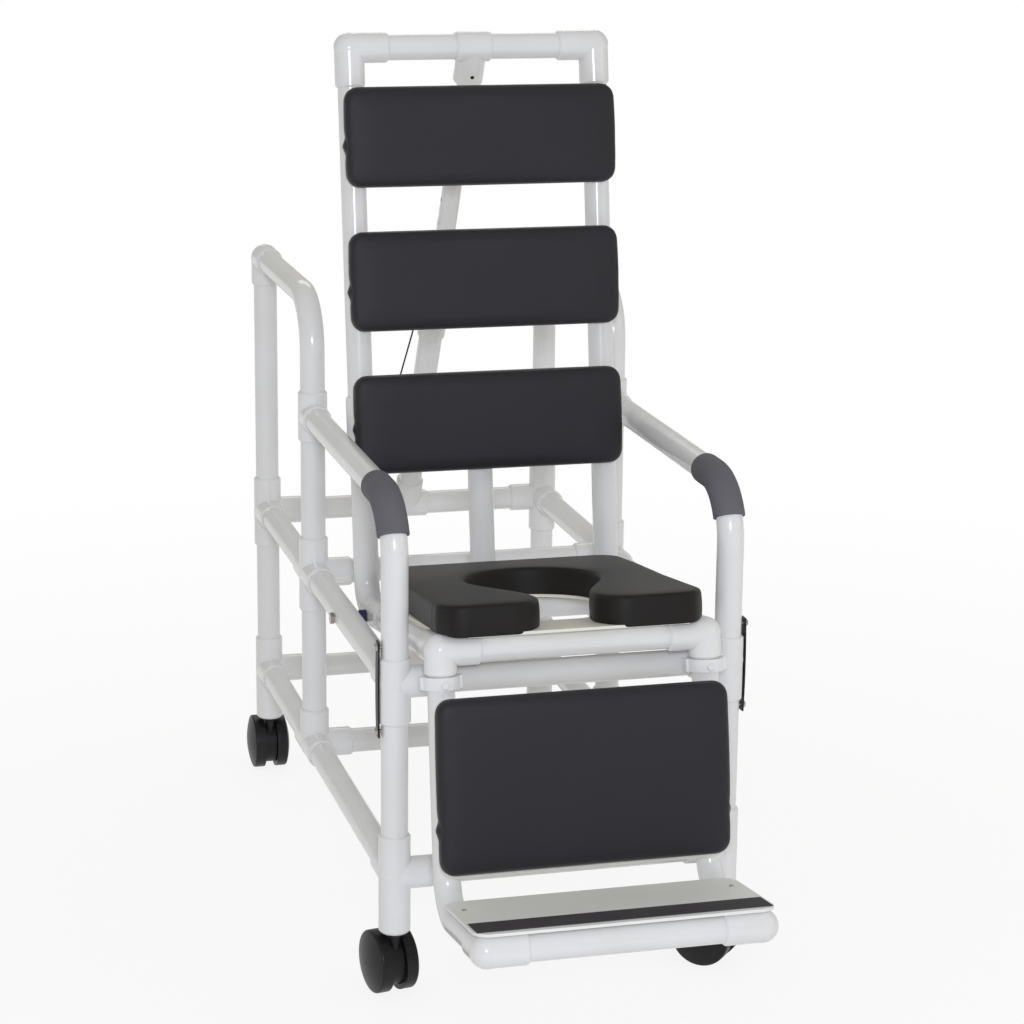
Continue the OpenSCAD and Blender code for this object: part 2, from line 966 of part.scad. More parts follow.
module caster_yoke(spot) {
    caster_pose(spot) {
        difference() {
            union() {
                translate([-yoke_width / 2, caster_trail, axle_z])
                    rotate([0, 90, 0])
                        cylinder(h = yoke_width, d = yoke_d);
                translate([0, 0, axle_z])
                    cylinder(h = caster_top - collar_drop / 2 - axle_z, d = neck_d);
                translate([0, 0, caster_top - collar_drop])
                    cylinder(h = collar_drop - face_gap, d = collar_d);
                translate([0, 0, caster_top - collar_drop / 2])
                    cylinder(h = stem_length + collar_drop / 2, d = stem_d);
            }
            rod(
                [-caster_width, caster_trail, axle_z],
                [caster_width, caster_trail, axle_z],
                axle_d + 2 * running_gap
            );
        }
    }
}

// Half section of one wheel, radius across and width up
module wheel_section() {
    intersection() {
        difference() {
            union() {
                translate([0, caster_gap / 2])
                    square([edge_r, (caster_width - caster_gap) / 2]);
                translate([0, caster_gap / 2])
                    square([axle_z, edge_x - caster_gap / 2]);
                translate([axle_z - wheel_edge, edge_x])
                    circle(r = wheel_edge);
            }
            translate([wheel_hub_d / 2, 0])
                square([axle_z - wheel_rim - wheel_hub_d / 2, caster_gap / 2 + wheel_recess]);
            square([axle_d / 2 + press_gap, axle_length / 2 + press_gap]);
        }
        translate([0, face_x])
            circle(r = face_r, $fn = 256);
    }
}

module caster_wheels(spot) {
    caster_pose(spot)
        translate([0, caster_trail, axle_z]) {
            for (side = [-1, 1])
                rotate([0, side * 90, 0])
                    rotate_extrude()
                        wheel_section();
            rod([-axle_length / 2, 0, 0], [axle_length / 2, 0, 0], axle_d);
        }
}

module caster_yoke_fl() {
    color("DarkSlateGray")
        caster_yoke(caster_spots[0]);
}

module caster_yoke_fr() {
    color("DarkSlateGray")
        caster_yoke(caster_spots[1]);
}

module caster_yoke_rl() {
    color("DarkSlateGray")
        caster_yoke(caster_spots[2]);
}

module caster_yoke_rr() {
    color("DarkSlateGray")
        caster_yoke(caster_spots[3]);
}

module caster_wheels_fl() {
    color("Black")
        caster_wheels(caster_spots[0]);
}

module caster_wheels_fr() {
    color("Black")
        caster_wheels(caster_spots[1]);
}

module caster_wheels_rl() {
    color("Black")
        caster_wheels(caster_spots[2]);
}

module caster_wheels_rr() {
    color("Black")
        caster_wheels(caster_spots[3]);
}

// Tilting frame

module back_uprights() {
    color("WhiteSmoke")
        tilt_pose()
            for (side = [-1, 1]) {
                bent_pipe(
                    [side * side_x, upright_u, 0],
                    pivot_leg - fitting_depth + end_gap,
                    back_rail_w - tube_start,
                    upright_bend
                );
                pipe(
                    [side * side_x, upright_u, back_rail_w + tube_start],
                    [side * side_x, upright_u, top_w - top_leg + fitting_depth - end_gap],
                    tube_od,
                    tube_id
                );
            }
}

module top_rail() {
    reach = side_x - top_leg + fitting_depth - end_gap;
    color("WhiteSmoke")
        tilt_pose()
            pipe([-reach, upright_u, top_w], [reach, upright_u, top_w], tube_od, tube_id);
}

module back_centre_tubes() {
    color("WhiteSmoke")
        tilt_pose() {
            for (side = [-1, 1])
                pipe(
                    [centre_x + side * (pivot_leg - fitting_depth + end_gap), upright_u, back_rail_w],
                    [side * (side_x - tube_start), upright_u, back_rail_w],
                    tube_od,
                    tube_id
                );
            bent_pipe(
                [centre_x, upright_u, 0],
                centre_leg - centre_depth + end_gap,
                back_rail_w - tube_start,
                upright_bend
            );
        }
}

module seat_side_rails() {
    color("WhiteSmoke")
        tilt_pose()
            for (side = [-1, 1])
                pipe(
                    [side * side_x, -seat_u + corner_leg - fitting_depth + end_gap, 0],
                    [side * side_x, -pivot_leg + fitting_depth - end_gap, 0],
                    tube_od,
                    tube_id
                );
}

module seat_cross_bars() {
    reach = side_x - corner_leg + fitting_depth - end_gap;
    color("WhiteSmoke")
        tilt_pose() {
            for (side = [-1, 1])
                pipe(
                    [centre_x + side * (pivot_leg - fitting_depth + end_gap), 0, 0],
                    [side * (side_x - tube_start), 0, 0],
                    tube_od,
                    tube_id
                );
            pipe([-reach, -seat_u, 0], [reach, -seat_u, 0], tube_od, tube_id);
        }
}

module back_fittings() {
    color("White")
        tilt_pose() {
            for (side = [-1, 1]) {
                translate([side * side_x, upright_u, back_rail_w])
                    fitting([
                        [[0, 0, 1], fitting_leg, fitting_depth],
                        [[0, 0, -1], fitting_leg, fitting_depth],
                        [[-side, 0, 0], fitting_leg, fitting_depth]
                    ]);
                translate([side * side_x, upright_u, top_w])
                    fitting([
                        [[0, 0, -1], top_leg, fitting_depth],
                        [[-side, 0, 0], top_leg, fitting_depth]
                    ]);
            }
            translate([centre_x, upright_u, back_rail_w])
                fitting([
                    [[1, 0, 0], pivot_leg, fitting_depth],
                    [[-1, 0, 0], pivot_leg, fitting_depth],
                    [[0, 0, -1], fitting_leg, fitting_depth]
                ]);
        }
}

module seat_fittings() {
    color("White")
        tilt_pose() {
            for (side = [-1, 1]) {
                difference() {
                    translate([side * side_x, 0, 0])
                        fitting([
                            [[0, 1, 0], pivot_leg, fitting_depth],
                            [[0, -1, 0], pivot_leg, fitting_depth],
                            [[-side, 0, 0], fitting_leg, fitting_depth]
                        ]);
                    rod([side * side_x, 0, 0], [side * post_x, 0, 0], bolt_d + 2 * running_gap);
                }
                translate([side * side_x, -seat_u, 0])
                    fitting([
                        [[0, 0, -1], corner_down_leg, corner_down_depth],
                        [[0, 1, 0], corner_leg, fitting_depth],
                        [[-side, 0, 0], corner_leg, fitting_depth]
                    ]);
            }
            translate([centre_x, 0, 0])
                fitting([
                    [[1, 0, 0], pivot_leg, fitting_depth],
                    [[-1, 0, 0], pivot_leg, fitting_depth],
                    [[0, 1, 0], centre_leg, centre_depth]
                ]);
        }
}

// Leg rest

module legrest_tubes() {
    color("WhiteSmoke")
        tilt_pose()
            for (side = [-1, 1])
                difference() {
                    bent_pipe(
                        [side * side_x, -seat_u, -foot_w],
                        -foot_u + foot_leg - foot_depth + end_gap,
                        -corner_down_leg + corner_down_depth - end_gap,
                        legrest_bend
                    );
                    rod(
                        [side * side_x, -seat_u, -button_w],
                        [side * side_x, -seat_u - tube_od, -button_w],
                        button_d + 2 * running_gap
                    );
                    rod(
                        [side * side_x, -plate_screw_u, -foot_w],
                        [side * side_x, -plate_screw_u, -foot_w + tube_od],
                        screw_d + 2 * socket_gap
                    );
                }
}

module legrest_collars() {
    color("White")
        tilt_pose()
            for (side = [-1, 1])
                translate([side * side_x, -seat_u, -collar_w - collar_h])
                    difference() {
                        union() {
                            cylinder(h = collar_h - face_gap, d = collar_od);
                            for (across = [-1, 1])
                                translate([
                                    across * (collar_od / 2 - ear_reach / 2) - ear_reach,
                                    -ear_width / 2,
                                    0
                                ])
                                    cube([2 * ear_reach, ear_width, collar_h - face_gap]);
                        }
                        translate([0, 0, -overrun])
                            cylinder(h = collar_h + 2 * overrun, d = socket_d);
                        rod(
                            [0, 0, collar_w + collar_h - button_w],
                            [0, -collar_od, collar_w + collar_h - button_w],
                            button_d + 2 * running_gap
                        );
                    }
}

module snap_button(side) {
    stop = sqrt(pow(tube_id / 2, 2) - pow(button_flange_d / 2, 2)) - face_gap;
    reach = collar_od / 2 + button_rise;
    tilt_pose()
        translate([side * side_x, -seat_u, -button_w])
            rotate([90, 0, 0]) {
                translate([0, 0, stop - button_flange_h])
                    cylinder(h = button_flange_h, d = button_flange_d);
                translate([0, 0, stop - button_flange_h])
                    cylinder(h = reach - stop + button_flange_h - button_rise / 2, d = button_d);
                translate([0, 0, reach - button_rise / 2])
                    cylinder(h = button_rise / 2, d1 = button_d, d2 = button_d - button_rise);
            }
}

module snap_button_left() {
    color("Silver")
        snap_button(-1);
}

module snap_button_right() {
    color("Silver")
        snap_button(1);
}

module legrest_elbows() {
    color("White")
        tilt_pose()
            for (side = [-1, 1])
                translate([side * side_x, -foot_u, -foot_w])
                    fitting([
                        [[0, 1, 0], foot_leg, foot_depth],
                        [[-side, 0, 0], corner_leg, fitting_depth]
                    ]);
}

module foot_bar() {
    reach = side_x - corner_leg + fitting_depth - end_gap;
    color("WhiteSmoke")
        tilt_pose()
            pipe([-reach, -foot_u, -foot_w], [reach, -foot_u, -foot_w], tube_od, tube_id);
}

module footplate() {
    boss_w = -foot_w + tube_od / 2 + face_gap;
    color("Gainsboro")
        tilt_pose()
            difference() {
                union() {
                    translate([0, 0, plate_w])
                        linear_extrude(plate_thick)
                            rounded_outline(pad_half, -plate_front_u, -plate_back_u, plate_corner);
                    for (side = [-1, 1])
                        translate([side * side_x, -plate_screw_u, boss_w])
                            cylinder(h = plate_w + plate_thick / 2 - boss_w, d = plate_boss_d);
                }
                for (side = [-1, 1])
                    rod(
                        [side * side_x, -plate_screw_u, -foot_w],
                        [side * side_x, -plate_screw_u, plate_w + plate_thick + overrun],
                        screw_d + 2 * socket_gap
                    );
            }
}

module grip_strip() {
    color("DimGray")
        tilt_pose()
            translate([-pad_half + strip_inset, -strip_front_u, plate_w + plate_thick])
                cube([2 * (pad_half - strip_inset), strip_front_u - strip_back_u, strip_thick]);
}

module footplate_screws() {
    color("Silver")
        tilt_pose()
            for (side = [-1, 1])
                translate([side * side_x, -plate_screw_u, plate_w + plate_thick]) {
                    cylinder(h = screw_head_h, d1 = screw_head_d, d2 = screw_head_d - screw_head_h);
                    translate([0, 0, -plate_w - plate_thick - foot_w + tube_id / 2 - screw_d])
                        cylinder(
                            h = plate_w + plate_thick + foot_w - tube_id / 2 + screw_d + screw_head_h / 2,
                            d = screw_d
                        );
                }
}

module calf_board() {
    color("Ivory")
        tilt_pose()
            translate([0, -seat_u - tube_od / 2 - face_gap, 0])
                rotate([90, 0, 0])
                    linear_extrude(calf_board_thick)
                        rounded_outline(
                            pad_half - board_inset,
                            -calf_bottom_w - calf_board_drop,
                            -calf_top_w - board_inset,
                            pad_corner
                        );
}

module calf_pad() {
    color("DimGray")
        tilt_pose()
            translate([
                0,
                -seat_u - tube_od / 2 - face_gap - calf_board_thick - soft_gap,
                -(calf_top_w + calf_bottom_w) / 2
            ])
                rotate([90, 0, 0])
                    soft_pad(pad_half, (calf_bottom_w - calf_top_w) / 2);
}

// Seat

// A rectangle between two places across and two along the seat
module cut(from_x, to_x, from_u, to_u) {
    translate([min(from_x, to_x), from_u])
        square([abs(to_x - from_x), to_u - from_u]);
}

// Seat board on the pipes, with room for the fittings and the bent feet of the back pipes
module seat_board() {
    hole = concat(
        [for (p = cushion_inner) if (p[1] > board_mouth_u + board_mouth_corner) p],
        [for (a = [0:15:90]) [
            board_mouth_half - board_mouth_corner * (1 - cos(a)),
            board_mouth_u + board_mouth_corner * (1 - sin(a))
        ]]
    );
    front_cut = side_x - corner_leg - board_margin;
    rail_cut = side_x - board_clear;
    bend_cut = side_x - board_bend_clear;
    pivot_cut = side_x - fitting_leg - board_margin;
    centre_cut = pivot_leg + board_margin;
    color("Ivory")
        tilt_pose()
            translate([0, 0, seat_board_w])
                linear_extrude(seat_board_thick)
                    difference() {
                        rounded_outline(
                            cushion_half + board_side,
                            seat_front_u - board_rim,
                            seat_back_u - board_rim,
                            cushion_corner
                        );
                        polygon(concat(hole, [for (i = [len(hole) - 1:-1:1]) [-hole[i][0], hole[i][1]]]));
                        for (side = [-1, 1]) {
                            cut(side * front_cut, side * board_far, seat_front_u - overrun, -seat_u + board_clear);
                            cut(side * rail_cut, side * board_far, -seat_u, -seat_u + corner_leg + board_margin);
                            cut(side * pivot_cut, side * board_far, -board_clear, board_clear);
                            cut(side * bend_cut, side * board_far, -pivot_leg - board_margin, seat_back_u);
                        }
                        cut(centre_x - centre_cut, centre_x + centre_cut, -board_clear, board_clear);
                        cut(centre_x - board_bend_clear, centre_x + board_bend_clear, 0, seat_back_u);
                    }
}

module seat_cushion() {
    color("DimGray")
        tilt_pose()
            translate([0, 0, cushion_w])
                soft_seat();
}

// Back padding

module pad_boards() {
    rib_foot = [
        pad_mids_w[0] - pad_tall / 2,
        pad_mids_w[1] - pad_tall / 2,
        back_rail_w + fitting_leg
    ];
    color("Ivory")
        tilt_pose()
            for (i = [0:2]) {
                translate([0, back_board_u, pad_mids_w[i]])
                    rotate([90, 0, 0])
                        linear_extrude(board_thick)
                            rounded_outline(
                                pad_half - board_inset,
                                -pad_tall / 2 + board_inset,
                                pad_tall / 2 - board_inset,
                                pad_corner
                            );
                for (side = [-1, 1])
                    translate([
                        side * side_x - rib_width / 2,
                        back_board_u - press_gap,
                        rib_foot[i] + board_inset + rib_margin
                    ])
                        cube([
                            rib_width,
                            upright_u - tube_od / 2 - face_gap - back_board_u + press_gap,
                            pad_mids_w[i] + pad_tall / 2 - rib_foot[i] - 2 * (board_inset + rib_margin)
                        ]);
            }
}

module back_pad(i) {
    tilt_pose()
        translate([0, back_board_u - board_thick - soft_gap, pad_mids_w[i]])
            rotate([90, 0, 0])
                soft_pad(pad_half, pad_tall / 2);
}

module back_pad_upper() {
    color("DimGray")
        back_pad(0);
}

module back_pad_middle() {
    color("DimGray")
        back_pad(1);
}

module back_pad_lower() {
    color("DimGray")
        back_pad(2);
}

// Strut

module strut_tee() {
    color("White")
        strut_pose()
            translate([0, 0, strut_length])
                difference() {
                    union() {
                        for (side = [-1, 1])
                            aim([side, 0, 0])
                                leg_form(tee_half);
                        aim([0, 0, -1])
                            leg_form(tee_leg);
                    }
                    rod([-tee_half - overrun, 0, 0], [tee_half + overrun, 0, 0], slip_d);
                    rod([0, 0, 0], [0, 0, -tee_leg - overrun], inner_od + 2 * socket_gap);
                    rod([0, 0, inner_end_gap - tee_leg], [0, fitting_od, inner_end_gap - tee_leg], screw_d);
                }
}

module strut_inner_tube() {
    pitch = strut_stroke / pin_holes;
    color("WhiteSmoke")
        strut_pose()
            difference() {
                pipe(
                    [0, 0, inner_start],
                    [0, 0, strut_length - inner_end_gap],
                    inner_od,
                    inner_od - 2 * inner_wall
                );
                for (k = [0:pin_holes])
                    rod(
                        [0, 0, pin_s + k * pitch],
                        [-inner_od, 0, pin_s + k * pitch],
                        pin_d + 2 * running_gap
                    );
            }
}

module strut_outer_tube() {
    color("WhiteSmoke")
        strut_pose()
            pipe([0, 0, outer_start], [0, 0, outer_end], tube_od, tube_id);
}

module strut_collar() {
    color("White")
        strut_pose()
            difference() {
                union() {
                    translate([0, 0, (collar_start + collar_end) / 2])
                        for (way = [-1, 1])
                            aim([0, 0, way])
                                leg_form((collar_end - collar_start) / 2);
                    rod(
                        lanyard_points[0] + [0, 0, -eye_length / 2],
                        lanyard_points[0] + [0, 0, eye_length / 2],
                        lanyard_eye_d
                    );
                }
                rod(
                    lanyard_points[0] - [0, 0, eye_length],
                    lanyard_points[0] + [0, 0, socket_gap],
                    lanyard_d + 2 * soft_gap
                );
                rod([0, 0, collar_start - overrun], [0, 0, outer_end + end_gap], socket_d);
                rod([0, 0, outer_end], [0, 0, collar_end + overrun], inner_od + 2 * running_gap);
                rod([0, 0, pin_s], [-fitting_od, 0, pin_s], pin_d + 2 * running_gap);
            }
}

module lock_pin() {
    tip_x = inner_od / 2 + tip_gap;
    knob_x = fitting_od / 2 + pin_travel + face_gap;
    color("Black")
        strut_pose()
            translate([0, 0, pin_s])
                rotate([0, -90, 0]) {
                    translate([0, 0, tip_x])
                        cylinder(h = knob_x - tip_x + knob_waist, d = pin_d);
                    translate([0, 0, knob_x])
                        cylinder(h = knob_waist, d1 = knob_d - 2 * knob_waist, d2 = knob_d);
                    translate([0, 0, knob_x + knob_waist])
                        cylinder(h = knob_length - 2 * knob_waist, d = knob_d);
                    translate([0, 0, knob_x + knob_length - knob_waist])
                        cylinder(h = knob_waist, d1 = knob_d, d2 = knob_d - 2 * knob_waist);
                }
}

module hub_tee() {
    eye = lanyard_points[len(lanyard_points) - 1];
    color("White")
        strut_pose()
            difference() {
                union() {
                    for (side = [-1, 1])
                        aim([side, 0, 0])
                            leg_form(hub_half);
                    leg_form(hub_leg);
                    rod(eye + [0, 0, -lanyard_d], eye + [0, 0, eye_length / 2], lanyard_eye_d);
                }
                rod([-hub_half - overrun, 0, 0], [hub_half + overrun, 0, 0], slip_d);
                rod([0, 0, 0], [0, 0, hub_leg + overrun], tube_id);
                rod([0, 0, hub_leg - fitting_depth], [0, 0, hub_leg + overrun], socket_d);
                rod(eye - [0, 0, socket_gap], eye + [0, 0, eye_length], lanyard_d + 2 * soft_gap);
            }
}

module lanyard() {
    color("Black")
        strut_pose()
            cord(lanyard_points, lanyard_d);
}

arm_tube_left();
arm_tube_right();
push_handle_left();
push_handle_right();
front_legs();
mid_posts();
rear_posts();
low_side_rails();
mid_side_rails();
cross_rails();
front_leg_fittings();
mid_post_fittings();
rear_post_fittings();
grip_left();
grip_right();
leg_straps();
strap_bolts();
pivot_bolts();
pivot_spacers();
caster_sleeves();
caster_yoke_fl();
caster_yoke_fr();
caster_yoke_rl();
caster_yoke_rr();
caster_wheels_fl();
caster_wheels_fr();
caster_wheels_rl();
caster_wheels_rr();
back_uprights();
top_rail();
back_centre_tubes();
seat_side_rails();
seat_cross_bars();
back_fittings();
seat_fittings();
legrest_tubes();
legrest_collars();
snap_button_left();
snap_button_right();
legrest_elbows();
foot_bar();
footplate();
grip_strip();
footplate_screws();
calf_board();
calf_pad();
seat_board();
seat_cushion();
pad_boards();
back_pad_upper();
back_pad_middle();
back_pad_lower();
strut_tee();
strut_inner_tube();
strut_outer_tube();
strut_collar();
lock_pin();
hub_tee();
lanyard();
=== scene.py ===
import json
import math
import bmesh
import bpy
from mathutils import Matrix, Vector


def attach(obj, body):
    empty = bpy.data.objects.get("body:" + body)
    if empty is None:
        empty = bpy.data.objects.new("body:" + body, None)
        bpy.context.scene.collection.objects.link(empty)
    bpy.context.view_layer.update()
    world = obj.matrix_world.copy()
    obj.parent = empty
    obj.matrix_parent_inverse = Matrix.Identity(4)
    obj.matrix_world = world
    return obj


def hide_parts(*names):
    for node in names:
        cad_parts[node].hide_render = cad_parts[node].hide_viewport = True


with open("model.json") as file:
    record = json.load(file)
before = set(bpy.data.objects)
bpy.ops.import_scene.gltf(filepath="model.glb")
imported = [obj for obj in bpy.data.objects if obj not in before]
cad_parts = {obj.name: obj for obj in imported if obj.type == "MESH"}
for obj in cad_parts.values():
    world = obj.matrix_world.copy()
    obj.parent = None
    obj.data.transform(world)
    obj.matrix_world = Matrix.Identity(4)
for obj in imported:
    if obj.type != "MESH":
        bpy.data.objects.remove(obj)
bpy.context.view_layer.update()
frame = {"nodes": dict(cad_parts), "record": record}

nodes = frame["nodes"]
bpy.ops.object.select_all(action="DESELECT")

# The row frame's y runs back from here: the front legs stand this far in front of its zero, in metres
FRONT_LEGS = 0.392996


def ramp(value, start, end):
    """0 before start, 1 after end, and an even curve between."""
    t = max(0.0, min(1.0, (value - start) / (end - start)))
    return t * t * (3 - 2 * t)


def pick(obj):
    """Makes one piece the only selected one, and active."""
    bpy.ops.object.select_all(action="DESELECT")
    obj.select_set(True)
    bpy.context.view_layer.objects.active = obj


def apply(obj, kind, **settings):
    """Adds a modifier with its settings to the active piece, and applies it."""
    modifier = obj.modifiers.new(kind.lower(), kind)
    for name, value in settings.items():
        setattr(modifier, name, value)
    bpy.ops.object.modifier_apply(modifier=modifier.name)


def smooth(obj, degrees):
    """Smooth shading, with edges sharper than the angle kept."""
    pick(obj)
    bpy.ops.object.shade_smooth_by_angle(angle=math.radians(degrees))


def dress(obj, material):
    obj.data.materials.clear()
    obj.data.materials.append(material)


# ---------------------------------------------------------------- camera
# The photograph was taken from the front left, slightly above the arms. The values come from
# fitting the chair's pipes to the whole picture.
CAMERA_PLACE = (-1.1823, -4.4734, 1.8419)
CAMERA_YAW = math.radians(15.14)
CAMERA_PITCH = math.radians(14.18)
CAMERA_ROLL = math.radians(0.65)
SENSOR_WIDTH = 36
FOCAL_LENGTH = 101.1
LENS_SHIFT = -0.0042


def place_camera():
    flat = math.cos(CAMERA_PITCH)
    ahead = Vector((math.sin(CAMERA_YAW) * flat, math.cos(CAMERA_YAW) * flat, -math.sin(CAMERA_PITCH)))
    right = Vector((math.cos(CAMERA_YAW), -math.sin(CAMERA_YAW), 0))
    up = right.cross(ahead)
    right_rolled = right * math.cos(CAMERA_ROLL) + up * math.sin(CAMERA_ROLL)
    up_rolled = up * math.cos(CAMERA_ROLL) - right * math.sin(CAMERA_ROLL)
    data = bpy.data.cameras.new("camera")
    data.sensor_width = SENSOR_WIDTH
    data.lens = FOCAL_LENGTH
    data.shift_x = data.shift_y = LENS_SHIFT
    data.clip_end = 50
    data.dof.use_dof = False
    camera = bpy.data.objects.new("camera", data)
    turn = Matrix((right_rolled, up_rolled, -ahead)).transposed().to_4x4()
    camera.matrix_world = Matrix.Translation(CAMERA_PLACE) @ turn
    bpy.context.collection.objects.link(camera)
    bpy.context.scene.camera = camera


place_camera()


# ---------------------------------------------------------------- materials
# Patterns lie on Object coordinates in metres: a noise scale of 500 gives marks of about 2 mm.
def srgb(code):
    """Linear colour from an sRGB hex value."""
    parts = [int(code[i:i + 2], 16) / 255 for i in (1, 3, 5)]
    return [c / 12.92 if c <= 0.04045 else ((c + 0.055) / 1.055) ** 2.4 for c in parts] + [1]


def add(mat, kind, values=None, links=None, **settings):
    """Adds one shader node with its settings, values and incoming links."""
    node = mat.node_tree.nodes.new(kind)
    for name, value in settings.items():
        setattr(node, name, value)
    for name, value in (values or {}).items():
        node.inputs[name].default_value = value
    for name, source in (links or {}).items():
        mat.node_tree.links.new(source, node.inputs[name])
    return node


def start_material(name):
    """An empty material, and the place on the piece that its patterns use."""
    mat = bpy.data.materials.new(name)
    mat.use_nodes = True
    mat.node_tree.nodes.clear()
    return mat, add(mat, "ShaderNodeTexCoord").outputs["Object"]


def end_material(mat, shader):
    add(mat, "ShaderNodeOutputMaterial", links={"Surface": shader.outputs[0]})
    return mat


def pvc(name, tint, shade, rough, peel):
    """Rigid white PVC: a glossy skin, a faint cloudy tone, and a slight ripple in the highlights."""
    mat, place = start_material(name)
    cloud = add(mat, "ShaderNodeTexNoise", {"Scale": 9.0, "Detail": 3.0, "Roughness": 0.55},
                {"Vector": place})
    span = add(mat, "ShaderNodeMapRange", {"From Min": 0.35, "From Max": 0.75},
               {"Value": cloud.outputs["Fac"]})
    tone = add(mat, "ShaderNodeMix", {6: srgb(tint), 7: srgb(shade)}, {0: span.outputs["Result"]},
               data_type="RGBA")
    # real handling marks are finer, but they would speckle at this distance: these are 20 mm patches
    marks = add(mat, "ShaderNodeTexNoise", {"Scale": 50.0, "Detail": 1.0}, {"Vector": place})
    gloss = add(mat, "ShaderNodeMapRange", {"To Min": rough, "To Max": rough + 0.05},
                {"Value": marks.outputs["Fac"]})
    ripple = add(mat, "ShaderNodeTexNoise", {"Scale": peel, "Detail": 1.0}, {"Vector": place})
    bump = add(mat, "ShaderNodeBump", {"Strength": 0.02, "Distance": 0.0005},
               {"Height": ripple.outputs["Fac"]})
    return end_material(mat, add(
        mat, "ShaderNodeBsdfPrincipled", {"IOR": 1.53},
        {"Base Color": tone.outputs[2], "Roughness": gloss.outputs["Result"],
         "Normal": bump.outputs["Normal"]}))


def vinyl(name, dark, light, rough, grain, shine):
    """Soft vinyl over foam: a fine leather grain with an uneven gloss."""
    mat, place = start_material(name)
    cells = add(mat, "ShaderNodeTexVoronoi", {"Scale": grain, "Randomness": 1.0},
                {"Vector": place}, feature="DISTANCE_TO_EDGE")
    fine = add(mat, "ShaderNodeTexNoise", {"Scale": grain * 2.3, "Detail": 4.0}, {"Vector": place})
    wide = add(mat, "ShaderNodeTexNoise", {"Scale": 7.0, "Detail": 3.0}, {"Vector": place})
    tone = add(mat, "ShaderNodeMix", {6: srgb(dark), 7: srgb(light)}, {0: wide.outputs["Fac"]},
               data_type="RGBA")
    height = add(mat, "ShaderNodeMath", {}, {0: cells.outputs["Distance"], 1: fine.outputs["Fac"]},
                 operation="ADD")
    bump = add(mat, "ShaderNodeBump", {"Strength": 0.28, "Distance": 0.0007},
               {"Height": height.outputs[0]})
    worn = add(mat, "ShaderNodeMapRange", {"To Min": rough, "To Max": rough + 0.16},
               {"Value": fine.outputs["Fac"]})
    return end_material(mat, add(
        mat, "ShaderNodeBsdfPrincipled",
        {"IOR": 1.48, "Specular IOR Level": shine, "Sheen Weight": 0.03, "Sheen Roughness": 0.5},
        {"Base Color": tone.outputs[2], "Roughness": worn.outputs["Result"],
         "Normal": bump.outputs["Normal"]}))


def plain_plastic(name, dark, light, rough, grain, depth, shine):
    """Moulded plastic, rubber or foam with a fine even grain."""
    mat, place = start_material(name)
    grit = add(mat, "ShaderNodeTexNoise", {"Scale": grain, "Detail": 3.0}, {"Vector": place})
    wide = add(mat, "ShaderNodeTexNoise", {"Scale": 14.0, "Detail": 2.0}, {"Vector": place})
    tone = add(mat, "ShaderNodeMix", {6: srgb(dark), 7: srgb(light)}, {0: wide.outputs["Fac"]},
               data_type="RGBA")
    bump = add(mat, "ShaderNodeBump", {"Strength": depth, "Distance": 0.0004},
               {"Height": grit.outputs["Fac"]})
    worn = add(mat, "ShaderNodeMapRange", {"To Min": rough - 0.06, "To Max": rough + 0.1},
               {"Value": grit.outputs["Fac"]})
    return end_material(mat, add(
        mat, "ShaderNodeBsdfPrincipled", {"IOR": 1.5, "Specular IOR Level": shine},
        {"Base Color": tone.outputs[2], "Roughness": worn.outputs["Result"],
         "Normal": bump.outputs["Normal"]}))


def brushed_steel(name):
    """Bright zinc-plated steel: long fine streaks and soft reflections."""
    mat, place = start_material(name)
    stretch = add(mat, "ShaderNodeMapping", {"Scale": (900.0, 60.0, 900.0)}, {"Vector": place})
    streak = add(mat, "ShaderNodeTexNoise", {"Scale": 1.0, "Detail": 2.0},
                 {"Vector": stretch.outputs["Vector"]})
    gloss = add(mat, "ShaderNodeMapRange", {"To Min": 0.25, "To Max": 0.45},
                {"Value": streak.outputs["Fac"]})
    tone = add(mat, "ShaderNodeMix", {6: srgb("#9a958c"), 7: srgb("#c3c0ba")},
               {0: streak.outputs["Fac"]}, data_type="RGBA")
    return end_material(mat, add(
        mat, "ShaderNodeBsdfPrincipled", {"Metallic": 1.0},
        {"Base Color": tone.outputs[2], "Roughness": gloss.outputs["Result"]}))


# PVC: tint, shade, roughness, ripples per metre. The fittings are moulded and a little shinier.
pipe_pvc = pvc("extruded_white_pvc_pipe", "#e9e9ea", "#e4e4e3", 0.17, 30.0)
fitting_pvc = pvc("moulded_white_pvc_fitting", "#eaeaeb", "#e5e5e4", 0.14, 60.0)
# Vinyl: dark and light tone, roughness, grain cells per metre, specular level. The seat's skin is warmer.
pad_vinyl = vinyl("dark_grey_vinyl_upholstery", "#27252a", "#2c2a2f", 0.4, 620.0, 0.26)
seat_foam = vinyl("soft_skin_seat_vinyl", "#1a1817", "#23201e", 0.42, 520.0, 0.2)
# Plastics: dark and light tone, roughness, grains per metre, strength of the grain, specular level
board_plastic = plain_plastic("cream_polyethylene_board", "#e6e3d6", "#edeade", 0.45, 900.0, 0.1, 0.4)
plate_plastic = plain_plastic("pale_polyethylene_footplate", "#eceeea", "#f2f3f0", 0.4, 900.0, 0.12, 0.5)
strip_grit = plain_plastic("anti_slip_grit_strip", "#343236", "#4c494d", 0.7, 1100.0, 0.9, 0.4)
grip_foam = plain_plastic("closed_cell_grip_foam", "#626168", "#6d6c73", 0.72, 800.0, 0.5, 0.3)
black_nylon = plain_plastic("black_moulded_nylon", "#161214", "#1e181b", 0.4, 1000.0, 0.2, 0.25)
navy_nylon = plain_plastic("navy_moulded_spacer", "#20204a", "#2a2a58", 0.4, 1000.0, 0.2, 0.3)
caster_nylon = plain_plastic("dark_caster_nylon", "#171618", "#1f1d20", 0.42, 700.0, 0.2, 0.25)
